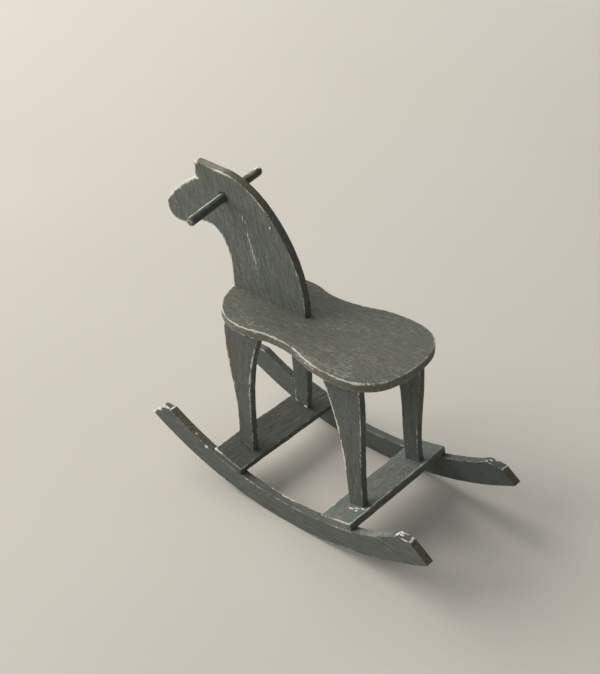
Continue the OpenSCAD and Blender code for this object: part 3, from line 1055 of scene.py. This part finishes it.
def make_seat():
    paint = painted_wood("seat", hair_long=1.7)
    place = Place((-MID, 0, SEAT_Z - SEAT_T / 2), (1, 0, 0), (0, 1, 0))
    cut_board("seat", "seat", seat_outline(), place, SEAT_T, seat_look(paint))


def handle_axis():
    """The handle's middle and direction towards the horse's left, in the frame, in mm."""
    drop, turn = math.radians(HANDLE_DROP), math.radians(HANDLE_TURN)
    middle = np.array([SEAT_FRONT + HANDLE_AT[0] - MID, 0, SEAT_Z + HANDLE_AT[1]])
    way = np.array([-math.sin(turn) * math.cos(drop), math.cos(turn) * math.cos(drop), -math.sin(drop)])
    return middle, way


def bore_outline(y):
    """The bore's outline, in side view, where the handle passes the plane at y."""
    middle, way = handle_axis()
    centre = middle + way * (y - middle[1]) / way[1]
    a = np.linspace(0, 2 * math.pi, 32, endpoint=False)
    radius = HANDLE_D / 2 + BORE_GAP
    return np.c_[centre[0] + MID + radius * np.cos(a), centre[2] + radius * np.sin(a)]


MUZZLE_OUT = 0.36
MUZZLE_RANGE = (9, 33)
MUZZLE_COUNT = 8
SCRATCH = ((16.3, 51.2), (14.5, 45.8))
SCRATCH_COUNT = 6


def muzzle_top():
    """Places in side view along the top of the muzzle, just outside its outline, in the frame."""
    brow = brow_curve()
    ahead = np.gradient(brow, axis=0)
    out = np.c_[ahead[:, 1], -ahead[:, 0]] / np.linalg.norm(ahead, axis=1)[:, None]
    wanted = np.linspace(*MUZZLE_RANGE, MUZZLE_COUNT).round().astype(int)
    return (brow + MUZZLE_OUT * out - (MID, 0))[wanted]


def head_dabs():
    """The muzzle's bare top, the scratch down the neck, and single marks on the ear, throat and crest; the
    throat's are a painted highlight of the light its rounded rim catches.
    """
    near = HEAD_NEAR
    return [((x, 0.4, z), (0.8, 1.2, 0.8)) for x, z in muzzle_top()] + [
        ((x, near, z), (0.07, 0.2, 0.6)) for x, z in [(17.45, 54.4), *between(*SCRATCH, SCRATCH_COUNT)]] + [
        ((29.3, 0.3, 62.7), (0.4, 0.7, 0.35)), ((29.6, near, 61.5), (0.2, 0.2, 1.0)),
        ((29.2, near, 59.4), (0.5, 0.25, 0.3)), ((21.3, near, 42.4), (0.28, 0.25, 2.4)),
        ((21.15, near, 39.4), (0.28, 0.25, 1.6)), ((22.8, near, 62.7), (1.2, 0.2, 0.25)),
        ((20.7, near, 62.7), (0.8, 0.2, 0.25)), ((10.3, near, 54.7), (0.18, 0.2, 0.3))]


def head_look(paint):
    near, middle = HEAD_NEAR, HEAD_Y
    muzzle = ((36.9, 54), (34.8, 56), (32.3, 57.9))
    return Look(
        paint, worn=0.26, streaks=0.2, seed=12.0,
        worn_at=path([(37.9, 52.7), *muzzle, (30.2, 59.2)], 0.9, 0.7, y=near)
        + path([(29.4, 59.9), (29.4, 62.2)], 0.6, 0.3, y=near) + [((29.3, near, 62.4), 0.8, 0.7)]
        + path([(24.2, 62.4), (20.2, 62.6)], 0.8, 0.4, y=near)
        + path([(15.5, 60.8), (11.8, 58.5), (9.6, 56.7)], 0.6, 0.25, y=near)
        + path([(5.6, 51.3), (4.3, 46.8)], 0.6, 0.12, y=near)
        # Along the front of the neck the strong wear, with the throat's two long dabs, is a painted highlight
        # of the light its rounded rim catches
        + path([(21.8, 45), (21.4, 42.6), (21.2, 38.4)], 0.8, 0.7, y=near)
        + path([(25.1, 49.9), (23.3, 48.6), (22.1, 46.2)], 0.6, 0.35, y=near)
        + path([(26, 50.1), (28.9, 50), (31.1, 48.7), (34.2, 48.1)], 0.7, 0.45, y=near)
        + path([(12.5, 37.9), (2.5, 37.9)], 0.7, -0.45, y=near),
        scuffs_and_highlights_at=[((29.2, middle, 62.4), (0.6, 1, 0.6), 0.45)]
        + path([(28, 62.9), (22.5, 62.7)], (1, 1.5, 0.6), 0.22, y=middle)
        + path([(37.6, 53.1), *muzzle, (31, 58.7)], 0.5, 0.45, y=near)
        + path([(37.2, 53.7), *muzzle[1:], (30.6, 59)], (0.6, 1.2, 0.6), 0.8, y=middle),
        bare_and_shade_at=path([(28.5, 62.9), (21, 62.6), (17, 61.4), (11.5, 58)], (1, 1.5, 1), 0.5, y=middle)
        + path([(9, 55.5), (5.8, 51), (3.2, 45), (2.2, 39)], (1.2, 1.5, 1.5), 0.22, 1.5, y=middle)
        + [((4.7, middle, 48.9), (1, 1.5, 1.2), 0.6)],
        streaks_and_painted_light_at=path([(17.6, 54.5), (16.8, 53.4)], 0.7, 0.35, y=near)
        + path([(16.4, 51.8), (15.3, 47.4)], 0.7, 0.35, y=near)
        + path([(15.3, 47.4), (14.3, 44.2)], 0.8, 0.45, y=near) + [((29, near, 56), (3, 1, 2), 0.2)],
        flecks_at=[((33.2, 0.3, 48.4), 0.7, 0.6), ((31.2, 0.3, 49), 0.5, 0.4), ((28, 0.3, 50.1), 0.6, 0.6)],
    )


def make_head():
    paint = painted_wood("head", head_dabs())
    # The board's front face, by its direction, is the horse's right one
    bores = [bore_outline(HEAD_Y - HEAD_T / 2), bore_outline(HEAD_Y + HEAD_T / 2)]
    cut_board("head_and_neck", "head", head_outline(), upright(HEAD_Y), HEAD_T, head_look(paint), bores)


def rod_point(along, up=0.0, ahead=0.0):
    """A place given from the rod's middle, along it to the horse's left, up and ahead, in the frame."""
    middle, way = handle_axis()
    front = np.cross(way, (0, 0, 1.0))
    front /= np.linalg.norm(front)
    return tuple(middle + way * along + front * ahead + np.cross(front, way) * up)


ROD_SOFT = 0.45
ROD_END_RINGS = (0.24, 0.1)
ROD_ROWS = 60
ROD_SIDES = 28
ROD_UNEVEN = 0.02
# The line along the rod, up and ahead, that catches the light. The first five dabs lie along it and are a
# painted highlight; the last four are single light marks.
ROD_HIGHLIGHT_LINE = (0.774, 0.45)
ROD_DABS = [((along, *ROD_HIGHLIGHT_LINE), (0.22, reach, 0.22))
            for along, reach in ((1.6, 0.7), (3.2, 1.1), (5.0, 1.2), (6.8, 1.1), (9.9, 0.7))] + [
    ((-10.35, 0.8, 0), (0.6, 0.4, 0.35)), ((-9.6, 0.85, 0.2), (0.35, 0.8, 0.25)),
    ((-10.4, 0, -0.85), (0.25, 0.3, 0.35)), ((-2.1, 0.3, -0.85), (0.25, 0.5, 0.25))]


def rod_profile():
    """The rod's side view: (radius, distance along), with rounded ends."""
    radius, half = HANDLE_D / 2, HANDLE_LEN / 2
    corner = [(radius - ROD_SOFT * (1 - math.cos(a)), half - ROD_SOFT * (1 - math.sin(a)))
              for a in np.radians([0, 22, 45, 67, 90])]
    end = corner + [(ring, half) for ring in ROD_END_RINGS]
    body = [(radius, t) for t in np.linspace(-half + ROD_SOFT, half - ROD_SOFT, ROD_ROWS)[1:-1]]
    return [(r, -t) for r, t in reversed(end)] + body + end


def rod_mesh():
    """The rod's points, how far each lies from the rim of an end, and its faces."""
    profile, count = rod_profile(), ROD_SIDES
    points, rim = [], []
    for r, t in profile:
        for a in np.linspace(0, 2 * math.pi, count, endpoint=False):
            uneven = 1 - ROD_UNEVEN * (1 + noise.noise(Vector((t / 3, math.cos(a), math.sin(a) + 4))))
            points.append(rod_point(t, math.sin(a) * r * uneven, math.cos(a) * r * uneven))
            rim.append(max(0, HANDLE_LEN / 2 - abs(t)) + 0.8 * max(0, HANDLE_D / 2 - ROD_SOFT - r))
    faces = []
    for row in range(len(profile) - 1):
        a, b = row * count, (row + 1) * count
        faces += [[a + k, a + (k + 1) % count, b + (k + 1) % count, b + k] for k in range(count)]
    faces.append(list(range(count))[::-1])
    faces.append([(len(profile) - 1) * count + k for k in range(count)])
    return np.array(points), rim, faces


def rod_look(paint):
    highlight_end = rod_point(10.4, *ROD_HIGHLIGHT_LINE)
    return Look(
        paint, worn=0.45, patchy=0.2, streaks=0.2, seed=13.0,
        worn_at=[(rod_point(10.7, -0.7, -0.3), 0.7, -0.5)],
        # The streaks along the highlight line, and the first scuffs along it, are a painted highlight
        streaks_and_painted_light_at=path([rod_point(1.2, *ROD_HIGHLIGHT_LINE), highlight_end], 0.4, 0.6, 0.4),
        scuffs_and_highlights_at=path([rod_point(1.3, *ROD_HIGHLIGHT_LINE), highlight_end], 0.3, 0.25, 0.3)
        + path([rod_point(-7.5, 0.85), rod_point(-10.7, 0.5)], 0.7, 0.4),
        bare_and_shade_at=[(rod_point(-6), (3.5, 5, 3.5), 0.9)],
    )


def make_handle():
    paint = painted_wood("handle", [(rod_point(*centre), radii) for centre, radii in ROD_DABS])
    points, rim, faces = rod_mesh()
    marks = {"rim": rim, "edge": np.ones(len(points)), **rod_look(paint).marks(points)}
    add(mesh_object("handle_rod", points, faces, marks, paint), "handle", "handle")


# ---- stage and light ----

FLOOR_SIZE = 6
LIT_HEIGHT = 0.02
WARM = (1.0, 0.985, 0.96)
COOL = (0.97, 0.985, 1.0)


def make_floor():
    bpy.ops.mesh.primitive_plane_add(size=FLOOR_SIZE, location=(0, 0, 0))
    floor = bpy.context.object
    floor.name = "floor"
    floor.data.materials.append(floor_finish())


def area_light(name, towards, distance, size, watts, colour):
    """A soft light of the given width and height, in the given direction from the horse."""
    data = bpy.data.lights.new(name, "AREA")
    data.shape = "RECTANGLE"
    data.size, data.size_y = size
    data.energy = watts
    data.color = colour
    lamp = bpy.data.objects.new(name, data)
    direction = Vector(towards).normalized()
    lamp.location = direction * distance + Vector((0, 0, LIT_HEIGHT))
    lamp.rotation_mode = "QUATERNION"
    lamp.rotation_quaternion = direction.to_track_quat("Z", "Y")
    link(lamp)


def sky(elevation, azimuth):
    """The direction at so many degrees above the floor and round from the nose."""
    e, a = math.radians(elevation), math.radians(azimuth)
    return (math.cos(e) * math.cos(a), math.cos(e) * math.sin(a), math.sin(e))


def make_lights():
    area_light("key_window", sky(34, 14), distance=1.1, size=(1.35, 1.0), watts=20.5, colour=WARM)
    area_light("room_left", sky(22, 100), distance=0.9, size=(0.7, 0.7), watts=1.2, colour=COOL)
    area_light("room_right", sky(22, 290), distance=0.9, size=(0.7, 0.7), watts=0.9, colour=COOL)
    world = bpy.data.worlds.new("room")
    world.use_nodes = True
    tree = world.node_tree
    ground = tree.nodes["Background"]
    ground.inputs["Color"].default_value = (0.87, 0.94, 1.0, 1)
    ground.inputs["Strength"].default_value = 0.15
    shown = tree.nodes.new("ShaderNodeBackground")
    shown.inputs["Color"].default_value = BACKDROP
    pick = tree.nodes.new("ShaderNodeMixShader")
    tree.links.new(seen_rays(tree), pick.inputs[0])
    tree.links.new(ground.outputs[0], pick.inputs[1])
    tree.links.new(shown.outputs[0], pick.inputs[2])
    tree.links.new(pick.outputs[0], tree.nodes["World Output"].inputs[0])
    bpy.context.scene.world = world
    bpy.context.scene.view_settings.view_transform = "Standard"


make_camera()
make_rockers()
make_cross_boards()
make_legs()
make_seat()
make_head()
make_handle()
make_floor()
make_lights()
